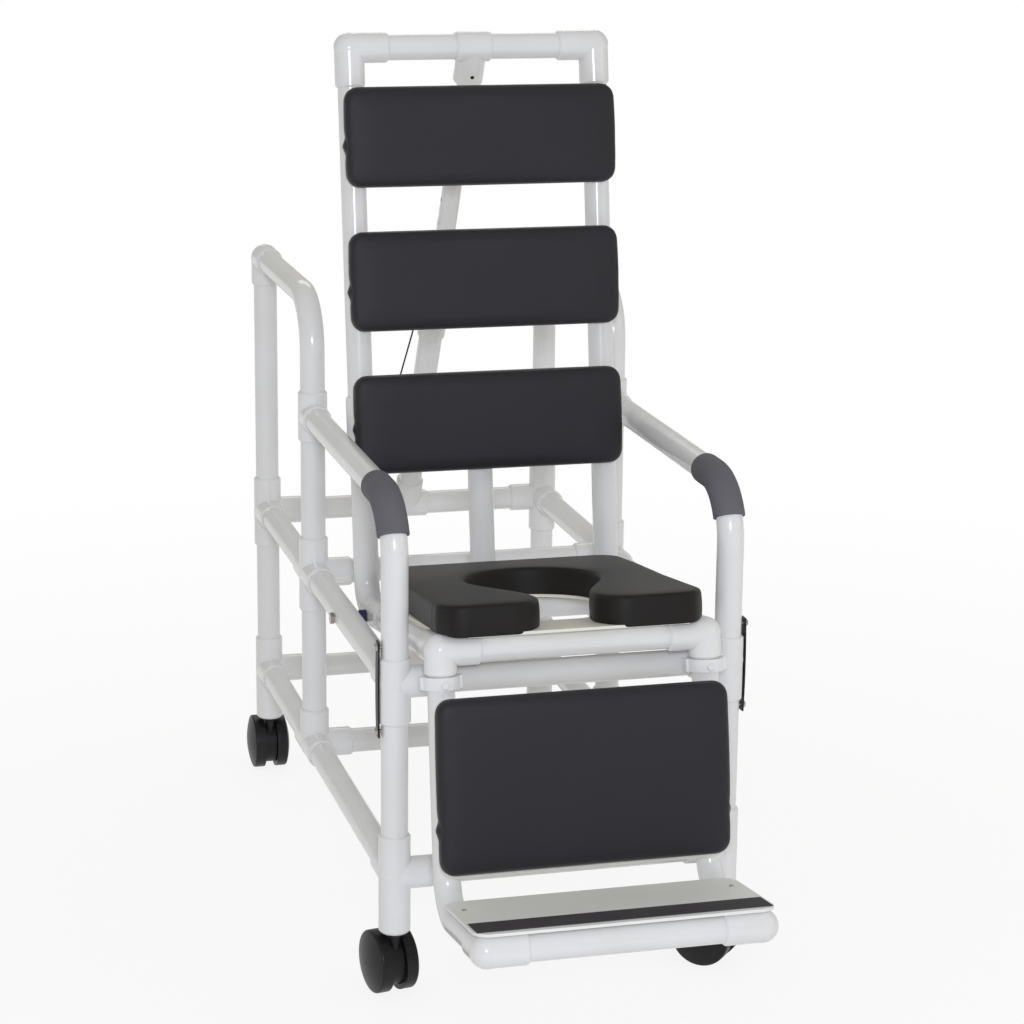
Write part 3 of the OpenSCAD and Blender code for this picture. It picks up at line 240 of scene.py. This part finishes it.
wheel_rubber = plain_plastic("dark_wheel_urethane", "#1a181a", "#211f21", 0.36, 600.0, 0.18, 0.25)
bolt_steel = brushed_steel("zinc_plated_steel")

FINISHES = {
    "white_pipe": pipe_pvc, "white_fitting": fitting_pvc, "dark_vinyl": pad_vinyl,
    "cream_board": board_plastic, "footplate_plastic": plate_plastic, "strip_rubber": strip_grit,
    "grip_foam": grip_foam, "black_plastic": black_nylon, "steel": bolt_steel,
    "caster_plastic": caster_nylon, "caster_rubber": wheel_rubber,
}

slots = {part["node"]: part["material_slot"] for part in frame["record"]["subparts"]}
for node_name, node_obj in nodes.items():
    dress(node_obj, FINISHES[slots[node_name]])
dress(nodes["pivot_spacers"], navy_nylon)


# ---------------------------------------------------------------- lanyard
# The cable hangs beside the strut, from the collar's eye to the eye on the lower hub. Each point
# is across, out of and along the strut from the hub, in millimetres.
LANYARD_ROUTE = [
    (-28, 0, 494), (-28.5, 0, 485), (-30.5, 0, 460), (-35, -1, 418), (-41, -2, 370),
    (-47, -3, 322), (-54, -4, 265), (-60, -5, 210), (-62, -5, 160), (-60, -4, 118),
    (-54, -3, 86), (-45, -2, 62), (-36, -1, 46), (-31, 0, 34), (-30, 0, 24),
]
LANYARD_RADIUS = 0.0015
POINTS_PER_SPAN = 4
STRUT_LEAN = math.radians(28.2528)
HUB = Vector((0, 0.695004, 0.51))


def beside_strut(across, out, along):
    """A place by the strut, in millimetres from the hub, in the row frame in metres."""
    c, s = math.cos(STRUT_LEAN), math.sin(STRUT_LEAN)
    return HUB + Vector((across, out * c - along * s, out * s + along * c)) / 1000


def curve_point(points, t):
    """The place after t spans on an even curve through the points."""
    i = min(int(t), len(points) - 2)
    f = t - i
    around = (i - 1, i, i + 1, i + 2)
    a, b, c, d = (Vector(points[max(0, min(k, len(points) - 1))]) for k in around)
    bend, twist = 2 * a - 5 * b + 4 * c - d, 3 * b - a - 3 * c + d
    return (2 * b + (c - a) * f + bend * f * f + twist * f ** 3) / 2


def make_lanyard():
    steps = (len(LANYARD_ROUTE) - 1) * POINTS_PER_SPAN
    line = [beside_strut(*curve_point(LANYARD_ROUTE, k / POINTS_PER_SPAN)) for k in range(steps + 1)]
    curve = bpy.data.curves.new("lanyard_cable", "CURVE")
    curve.dimensions = "3D"
    curve.bevel_depth = LANYARD_RADIUS
    curve.bevel_resolution = 4
    curve.use_fill_caps = True
    spline = curve.splines.new("POLY")
    spline.points.add(len(line) - 1)
    for point, place in zip(spline.points, line):
        point.co = (*place, 1)
    obj = bpy.data.objects.new("lanyard_cable", curve)
    bpy.context.collection.objects.link(obj)
    curve.materials.append(black_nylon)
    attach(obj, "strut_lower")
    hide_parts("lanyard")


make_lanyard()


# ---------------------------------------------------------------- floor and light
FLOOR_SIZE = 40
# Near the chair the floor shows its shadow, and further out it turns into the white backdrop
BACKDROP_NEAR, BACKDROP_FAR = 0.7, 3.0
GLOW_NEAR, GLOW_FAR = 0.86, 1.0
WORLD_LIGHT = 0.56


def make_floor():
    bpy.ops.mesh.primitive_plane_add(size=1, location=(0, 0, 0))
    floor = bpy.context.object
    floor.name = "studio_floor"
    floor.scale = (FLOOR_SIZE, FLOOR_SIZE, 1)
    bpy.ops.object.transform_apply(location=False, rotation=False, scale=True)
    mat, place = start_material("white_studio_floor")
    rays = add(mat, "ShaderNodeLightPath")
    seen = add(mat, "ShaderNodeMath", {},
               {0: rays.outputs["Is Camera Ray"], 1: rays.outputs["Is Glossy Ray"]}, operation="MAXIMUM")
    away = add(mat, "ShaderNodeVectorMath", {}, {0: place}, operation="LENGTH")
    fade = add(mat, "ShaderNodeMapRange",
               {"From Min": BACKDROP_NEAR, "From Max": BACKDROP_FAR,
                "To Min": GLOW_NEAR, "To Max": GLOW_FAR},
               {"Value": away.outputs["Value"]})
    share = add(mat, "ShaderNodeMath", {}, {0: seen.outputs[0], 1: fade.outputs["Result"]},
                operation="MULTIPLY")
    paint = add(mat, "ShaderNodeBsdfDiffuse", {"Color": srgb("#f4f4f4")})
    glow = add(mat, "ShaderNodeEmission", {"Color": srgb("#ffffff"), "Strength": 1.0})
    blend = add(mat, "ShaderNodeMixShader", {},
                {0: share.outputs[0], 1: paint.outputs["BSDF"], 2: glow.outputs["Emission"]})
    floor.data.materials.append(end_material(mat, blend))


def light_world():
    """A soft off-white light from all round, seen by the camera as plain white."""
    world = bpy.data.worlds.new("studio")
    bpy.context.scene.world = world
    world.use_nodes = True
    world.node_tree.nodes.clear()
    rays = add(world, "ShaderNodeLightPath")
    seen = add(world, "ShaderNodeMath", {},
               {0: rays.outputs["Is Camera Ray"], 1: rays.outputs["Is Transmission Ray"]},
               operation="MAXIMUM")
    soft = add(world, "ShaderNodeBackground", {"Color": srgb("#f7f6f1"), "Strength": WORLD_LIGHT})
    bright = add(world, "ShaderNodeBackground", {"Color": srgb("#ffffff"), "Strength": 1.0})
    sky = add(world, "ShaderNodeMixShader", {},
              {0: seen.outputs[0], 1: soft.outputs["Background"], 2: bright.outputs["Background"]})
    add(world, "ShaderNodeOutputWorld", links={"Surface": sky.outputs["Shader"]})


def lamp(name, place, aim, size, power, tint):
    data = bpy.data.lights.new(name, "AREA")
    data.shape = "RECTANGLE"
    data.size, data.size_y = size
    data.energy = power
    data.color = srgb(tint)[:3]
    obj = bpy.data.objects.new(name, data)
    obj.location = place
    obj.rotation_euler = (Vector(aim) - Vector(place)).to_track_quat("-Z", "Y").to_euler()
    bpy.context.collection.objects.link(obj)


make_floor()
light_world()
lamp("key_softbox", place=(-1.1, -4.6, 2.15), aim=(0, 0, 0.7), size=(0.7, 0.5), power=78, tint="#eef2ff")
lamp("fill_softbox", place=(3.2, -2.0, 2.2), aim=(0, 0, 0.7), size=(1.8, 1.8), power=10, tint="#fffaf0")
lamp("rim_softbox", place=(0.5, 3.4, 3.0), aim=(0, 0, 0.8), size=(2.2, 1.2), power=16, tint="#fffaf0")
bpy.context.scene.view_settings.view_transform = "Standard"


# ---------------------------------------------------------------- padding
# The tilting frame turns about the two side bolts: x across, y back along the seat, z up the back.
TILT = math.radians(8.64)
PIVOT = Vector((0, -0.032996, 0.51))


def seat_frame(p):
    """Row frame to the tilting frame, both in metres."""
    d = p - PIVOT
    c, s = math.cos(TILT), math.sin(TILT)
    return Vector((d.x, d.y * c - d.z * s, d.y * s + d.z * c))


def seat_place(x, y, z):
    """Tilting frame, in millimetres, to the row frame, in metres."""
    c, s = math.cos(TILT), math.sin(TILT)
    return PIVOT + Vector((x, y * c + z * s, z * c - y * s)) / 1000


def seat_box(obj):
    """Lowest and highest corner of a piece, measured in the tilting frame."""
    points = [seat_frame(v.co) for v in obj.data.vertices]
    return [min(p[k] for p in points) for k in range(3)], [max(p[k] for p in points) for k in range(3)]


# Sizes of the flat pads, in metres
PAD_VOXEL = 0.004
PAD_HELD = 0.004          # depth of the side that stays flat on its board
PAD_SWELL = 0.0014        # furthest that the stuffing pushes the skin out
SIDE_PULL = 0.0018        # how far the middle of a side is drawn in
TUCK_HALF = 0.012         # half the height of the folded tuck on a short side
SIDE_FROM, SIDE_TO = 0.03, 0.006          # distances in from the end, where a side's shaping fades in
TUCK_FRONT, TUCK_BACK = 0.004, 0.008      # distances in from the face and the back, the same for the tuck
CLOTH_FRAMES = 12


def copy_of(node, name):
    """A welded copy of a CAD piece."""
    mesh = nodes[node].data.copy()
    obj = bpy.data.objects.new(name, mesh)
    bpy.context.collection.objects.link(obj)
    bm = bmesh.new()
    bm.from_mesh(mesh)
    bmesh.ops.remove_doubles(bm, verts=bm.verts, dist=1e-5)
    bm.to_mesh(mesh)
    bm.free()
    return obj


def inflate(obj, held):
    """Swells a pad as stuffed padding: the held side stays flat against its board."""
    pick(obj)
    apply(obj, "REMESH", mode="VOXEL", voxel_size=PAD_VOXEL)
    apply(obj, "SMOOTH", factor=0.5, iterations=1)
    before = [v.co.copy() for v in obj.data.vertices]
    pins = obj.vertex_groups.new(name="held")
    pins.add([i for i, co in enumerate(before) if held(co)], 1.0, "ADD")
    cloth = obj.modifiers.new("cloth", "CLOTH")
    cloth.collision_settings.use_collision = False
    skin = cloth.settings
    skin.quality = 4
    skin.mass = 0.3
    skin.tension_stiffness = 40
    skin.compression_stiffness = 40
    skin.shear_stiffness = 12
    skin.bending_stiffness = 6
    skin.use_pressure = True
    skin.uniform_pressure_force = 1.5
    skin.vertex_group_mass = "held"
    skin.effector_weights.gravity = 0
    for number in range(1, CLOTH_FRAMES + 1):
        bpy.context.scene.frame_set(number)
    bpy.ops.object.modifier_apply(modifier=cloth.name)
    bpy.context.scene.frame_set(1)
    for v, old in zip(obj.data.vertices, before):
        step = v.co - old
        if step.length > PAD_SWELL:
            v.co = old + step.normalized() * PAD_SWELL
    obj.vertex_groups.clear()


def make_flat_pad(node, name, tuck_at, tuck_left, tuck_right):
    """A flat vinyl pad: even face, rounded rim, sides that pull in, and a folded tuck on each short side.

    tuck_at is the tuck's share of the way down the pad, and the other two say how far it stands out.
    """
    pad = copy_of(node, name)
    low, high = seat_box(pad)
    inflate(pad, lambda co: seat_frame(co).y > high[1] - PAD_HELD)
    tuck_z = high[2] + (low[2] - high[2]) * tuck_at
    for v in pad.data.vertices:
        p = seat_frame(v.co)
        side = ramp(abs(p.x), high[0] - SIDE_FROM, high[0] - SIDE_TO)
        along = max(0.0, min(1.0, (p.z - low[2]) / (high[2] - low[2])))
        behind = ramp(p.y, low[1] + TUCK_FRONT, high[1] - TUCK_BACK)
        reach = tuck_right if p.x > 0 else tuck_left
        out = -SIDE_PULL * math.sin(math.pi * along)
        out += reach * behind * math.exp(-abs((p.z - tuck_z) / TUCK_HALF) ** 1.4)
        v.co.x += math.copysign(out * side, p.x)
    pick(pad)
    apply(pad, "SUBSURF", levels=1, render_levels=1)
    bpy.ops.object.shade_smooth()
    dress(pad, pad_vinyl)
    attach(pad, "tilt_frame")
    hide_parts(node)


make_flat_pad("back_pad_upper", "upper_back_pad", 0.585, 0.0068, 0.001)
make_flat_pad("back_pad_middle", "middle_back_pad", 0.60, 0.0068, 0.001)
make_flat_pad("back_pad_lower", "lower_back_pad", 0.54, 0.006, 0.001)
make_flat_pad("calf_pad", "calf_rest_pad", 0.74, 0.0062, 0.0055)


# ---------------------------------------------------------------- seat
# All sizes of the seat are in millimetres in the tilting frame. The outline's right half runs from
# the back round the outer corners, in through the mouth and round the opening.
SEAT_HALF, SEAT_BACK, SEAT_FRONT, SEAT_CORNER = 207, 70, -455, 45
MOUTH_HALF, MOUTH_CORNER = 43, 52
OPENING_HALF, OPENING_MID, OPENING_BACK = 109, -170, -45
CORNER_STEPS, NECK_STEPS, OPENING_STEPS = 30, 40, 60
SEAT_STEP = 3
# Distance in from the outline and height of each level, from the underside to the crown
SEAT_LEVELS = [
    (8, 0), (2.4, 0), (1.2, 0.4), (0.3, 1.6), (0, 3.6), (-0.3, 9), (-0.6, 16), (-0.5, 24),
    (-0.1, 31), (0.35, 36.4), (0.8, 39), (1.7, 41.2), (3.1, 42.9), (5.2, 44), (8.2, 44.6),
    (12, 45), (18, 45.4), (25, 45.7), (34, 45.9),
]
# The wall's foot comes down over the board's edge, at the front and round the opening
LIP_HEIGHT = 10
LIP_INSET = 2
LIP_DROP = 4.4
LIP_FORWARD = 4.5
LIP_OVER = 1.6
LIP_START, LIP_END = 430, 452             # how far forward the front lip starts, and is whole
# The opening's lip fades in between these values of y, of -|x| and of -y
INNER_FRONT = (-335, -325)
INNER_SIDE = (-125, -120)
INNER_BACK = (38, 44)
# The fold of the skin on each side: a raised band with a sharper groove in its middle
FOLD_AT = -388
FOLD_HALF = 5
FOLD_RISE = 1.6
GROOVE_SHARE = 0.35
GROOVE_DEPTH = 1.4
# The cushion sits slightly turned on its board: it shifts sideways from its middle to both ends,
# except at the right front corner, which keeps its place from FREE_FROM to FREE_TO
TURN_AT = -240
TURN = 0.042
TURN_MOST = 7
TURN_LEAST = -9
FREE_FROM, FREE_TO = 110, 200
# Heights between which the fold shows on the wall: it fades in at the foot and out below the rim
FOLD_FOOT = (1, 8)
FOLD_TOP = (-46, -41)


def arc(x, y, radius, start, end):
    turns = [math.radians(start + (end - start) * k / CORNER_STEPS) for k in range(CORNER_STEPS + 1)]
    return [(x + radius * math.cos(t), y + radius * math.sin(t)) for t in turns]


def seat_corners():
    """The horseshoe's closed outline, clockwise from the back."""
    side = SEAT_HALF - SEAT_CORNER
    lobe = MOUTH_HALF + MOUTH_CORNER
    half = [(0, SEAT_BACK)] + arc(side, SEAT_BACK - SEAT_CORNER, SEAT_CORNER, 90, 0)
    half += arc(side, SEAT_FRONT + SEAT_CORNER, SEAT_CORNER, 0, -90)
    half += arc(lobe, SEAT_FRONT + MOUTH_CORNER, MOUTH_CORNER, -90, -180)
    reach = SEAT_FRONT + MOUTH_CORNER - OPENING_MID
    for k in range(NECK_STEPS - 1, 0, -1):
        narrowing = (1 - math.cos(math.pi * k / NECK_STEPS)) / 2
        half.append((OPENING_HALF + (MOUTH_HALF - OPENING_HALF) * narrowing,
                     OPENING_MID + reach * k / NECK_STEPS))
    for k in range(OPENING_STEPS, -1, -1):
        turn = math.radians(90 / OPENING_STEPS * k)
        half.append((OPENING_HALF * math.sin(turn),
                     OPENING_MID + (OPENING_BACK - OPENING_MID) * math.cos(turn)))
    return half + [(-x, y) for x, y in half[-2:0:-1]]


def seat_outline():
    """Evenly spaced points along the outline, each with the direction outwards."""
    loop = seat_corners()
    count = len(loop)
    spans = [math.dist(loop[i], loop[(i + 1) % count]) for i in range(count)]
    total = sum(spans)
    number = int(total / SEAT_STEP)
    points, i, gone = [], 0, 0.0
    for k in range(number):
        want = total * k / number
        while gone + spans[i] < want:
            gone += spans[i]
            i += 1
        f = (want - gone) / spans[i]
        (ax, ay), (bx, by) = loop[i], loop[(i + 1) % count]
        points.append((ax + (bx - ax) * f, ay + (by - ay) * f))
    ways = []
    for k in range(number):
        (ax, ay), (bx, by) = points[k - 2], points[(k + 2) % number]
        size = math.dist((ax, ay), (bx, by))
        ways.append(((ay - by) / size, (bx - ax) / size))
    return points, ways


def seat_point(point, way, inset, height):
    """Where the skin passes at one level above one point of the outline."""
    (px, py), (nx, ny) = point, way
    x, y, z = px - nx * inset, py - ny * inset, height
    front = ramp(-py, LIP_START, LIP_END)
    y -= LIP_FORWARD * front
    # 1 on the opening's wall, behind the mouth
    inner = ramp(py, *INNER_FRONT) * ramp(-py, *INNER_BACK) * ramp(-abs(px), *INNER_SIDE)
    if inset < LIP_INSET and height < LIP_HEIGHT:
        foot = 1 - height / LIP_HEIGHT
        z -= LIP_DROP * max(front, inner) * foot
        x += nx * LIP_OVER * inner * foot
        y += ny * LIP_OVER * inner * foot
    # 1 on the outer side walls, below the rim
    wall = abs(nx) * ramp(abs(px), SEAT_HALF - 6, SEAT_HALF - 1)
    wall *= ramp(height, *FOLD_FOOT) * ramp(-height, *FOLD_TOP)
    away = (py - FOLD_AT) / FOLD_HALF
    crease = math.exp(-away ** 2) - GROOVE_DEPTH * math.exp(-(away / GROOVE_SHARE) ** 2)
    x += math.copysign(FOLD_RISE * crease * wall, px)
    slide = max(TURN_LEAST, min(TURN_MOST, (py - TURN_AT) * TURN))
    x += slide if slide > 0 else slide * (1 - ramp(px, FREE_FROM, FREE_TO))
    return x, y, z


def make_seat_pad():
    """The horseshoe seat: firm foam in a skin, with a crisp rim.

    Firm foam hardly swells, so it isn't simulated.
    """
    base = seat_box(nodes["seat_cushion"])[0][2] * 1000
    points, ways = seat_outline()
    count = len(points)
    bm = bmesh.new()
    rings = []
    for inset, height in SEAT_LEVELS:
        ring = []
        for point, way in zip(points, ways):
            x, y, z = seat_point(point, way, inset, height)
            ring.append(bm.verts.new(seat_place(x, y, base + z)))
        rings.append(ring)
    for low, high in zip(rings, rings[1:]):
        for i in range(count):
            j = (i + 1) % count
            bm.faces.new((low[i], high[i], high[j], low[j]))
    upward = seat_place(0, 0, 1000) - PIVOT
    for ring in (rings[0], rings[-1]):
        edges = [bm.edges.get((ring[i - 1], ring[i])) for i in range(count)]
        bmesh.ops.triangle_fill(bm, edges=edges, normal=upward, use_beauty=True)
    bmesh.ops.recalc_face_normals(bm, faces=bm.faces)
    mesh = bpy.data.meshes.new("horseshoe_seat_pad")
    bm.to_mesh(mesh)
    bm.free()
    pad = bpy.data.objects.new("horseshoe_seat_pad", mesh)
    bpy.context.collection.objects.link(pad)
    smooth(pad, 60)
    dress(pad, seat_foam)
    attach(pad, "tilt_frame")
    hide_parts("seat_cushion")


make_seat_pad()


# ---------------------------------------------------------------- small fastener
SCREW_RADIUS = 0.003
SCREW_PLACE = (0, -24.9, 980)     # beside the strut, in millimetres
SCREW_EDGE = 0.0011
# Each step in and up of the head: the rounded rim, the flat top, and the socket
SCREW_STEPS = ((0.0005, 0.0004), (0.0008, 0.0002), (0.0003, -0.0009))


def make_tee_screw():
    """The small dark screw on the front of the slip tee."""
    bpy.ops.object.select_all(action="DESELECT")
    bpy.ops.mesh.primitive_circle_add(vertices=24, radius=SCREW_RADIUS, fill_type="NGON")
    screw = bpy.context.object
    screw.name = "slip_tee_screw"
    bpy.ops.object.mode_set(mode="EDIT")
    bpy.ops.mesh.select_all(action="SELECT")
    bpy.ops.mesh.extrude_region_move(TRANSFORM_OT_translate={"value": (0, 0, SCREW_EDGE)})
    for step_in, step_up in SCREW_STEPS:
        bpy.ops.mesh.inset(thickness=step_in)
        bpy.ops.transform.translate(value=(0, 0, step_up))
    bpy.ops.mesh.select_all(action="SELECT")
    bpy.ops.mesh.normals_make_consistent(inside=False)
    bpy.ops.object.mode_set(mode="OBJECT")
    outward = (beside_strut(0, -1, 0) - HUB).normalized()
    screw.rotation_euler = outward.to_track_quat("Z", "Y").to_euler()
    screw.location = beside_strut(*SCREW_PLACE)
    bpy.ops.object.transform_apply(location=True, rotation=True, scale=True)
    smooth(screw, 35)
    dress(screw, black_nylon)
    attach(screw, "strut_upper")


make_tee_screw()


# ---------------------------------------------------------------- foam grips
# A grip starts on the arm's straight length and follows its bend down towards the front leg.
GRIP_RADIUS = 0.0251
GRIP_WALL = 0.0037
GRIP_ROUNDING = 0.0014
GRIP_SWEEP = math.radians(-64)
ARM_X, ARM_Z = 0.267, 0.788
GRIP_START_Y = 0.128 - FRONT_LEGS
STRAIGHT_STEP, STRAIGHT_STEPS = 0.0095, 4
BEND_Y, BEND_Z = 0.09 - FRONT_LEGS, 0.698


def make_grip(node, name, side):
    """A foam sleeve slid over the front bend of an arm, its ends slightly rounded."""
    bpy.ops.object.select_all(action="DESELECT")
    x = side * ARM_X
    bpy.ops.mesh.primitive_circle_add(vertices=40, radius=GRIP_RADIUS, location=(x, GRIP_START_Y, ARM_Z),
                                      rotation=(math.radians(90), 0, 0))
    grip = bpy.context.object
    grip.name = name
    bpy.ops.object.transform_apply(location=True, rotation=True, scale=True)
    bpy.ops.object.mode_set(mode="EDIT")
    bpy.ops.mesh.select_all(action="SELECT")
    for _ in range(STRAIGHT_STEPS):
        bpy.ops.mesh.extrude_edges_move(TRANSFORM_OT_translate={"value": (0, -STRAIGHT_STEP, 0)})
    bpy.ops.mesh.spin(steps=18, angle=GRIP_SWEEP, center=(x, BEND_Y, BEND_Z), axis=(1, 0, 0))
    bpy.ops.mesh.select_all(action="SELECT")
    bpy.ops.mesh.remove_doubles(threshold=0.00005)
    bpy.ops.mesh.normals_make_consistent(inside=False)
    bpy.ops.object.mode_set(mode="OBJECT")
    apply(grip, "SOLIDIFY", thickness=GRIP_WALL, offset=-1)
    apply(grip, "BEVEL", width=GRIP_ROUNDING, segments=3, limit_method="ANGLE",
          angle_limit=math.radians(50))
    smooth(grip, 40)
    dress(grip, grip_foam)
    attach(grip, "base")
    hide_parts(node)


make_grip("grip_left", "left_foam_grip", -1)
make_grip("grip_right", "right_foam_grip", 1)
